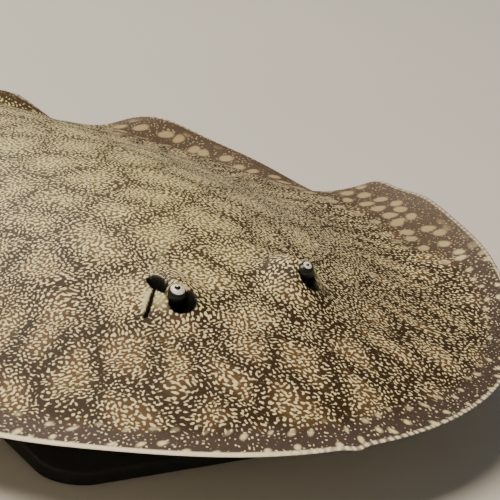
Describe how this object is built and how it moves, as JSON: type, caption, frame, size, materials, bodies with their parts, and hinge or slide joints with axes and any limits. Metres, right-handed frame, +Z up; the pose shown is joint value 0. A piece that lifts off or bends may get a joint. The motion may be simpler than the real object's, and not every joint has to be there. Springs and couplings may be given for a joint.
{
  "type": "freshwater stingray",
  "caption": "Life-size still model of a freshwater stingray gliding on a low plain stand: round spotted disc, raised eyes, spiracles, pelvic fins, whip tail with a sting.",
  "frame": {"origin": "on the ground under the middle of the model's bounding box, snout to tail tip", "axes": "+X to the animal's left, -Y towards the snout, +Y along the tail, +Z up"},
  "size_m": [0.3278, 0.6994, 0.0718],
  "materials": {
    "skin": "moist, finely bumpy spotted skin",
    "tail_fold": "thin moist skin fold",
    "eye": "wet and glossy",
    "sting": "satin, tooth-like",
    "stand_paint": "satin black",
    "stand_steel": "brushed"
  },
  "bodies": {
    "root": {"snout": "skin", "head": "skin", "trunk": "skin", "pectoral_fin_left": "skin", "pectoral_fin_right": "skin", "pelvic_fin_left": "skin", "pelvic_fin_right": "skin", "tail_base": "skin", "tail_middle": "skin", "tail_tip": "skin", "tail_fold_upper": "tail_fold", "tail_fold_lower": "tail_fold", "eye_left": "eye", "eye_right": "eye", "tail_sting": "sting", "stand_base": "stand_paint", "stand_rod_front": "stand_steel", "stand_rod_rear": "stand_steel"}
  },
  "joints": []
}
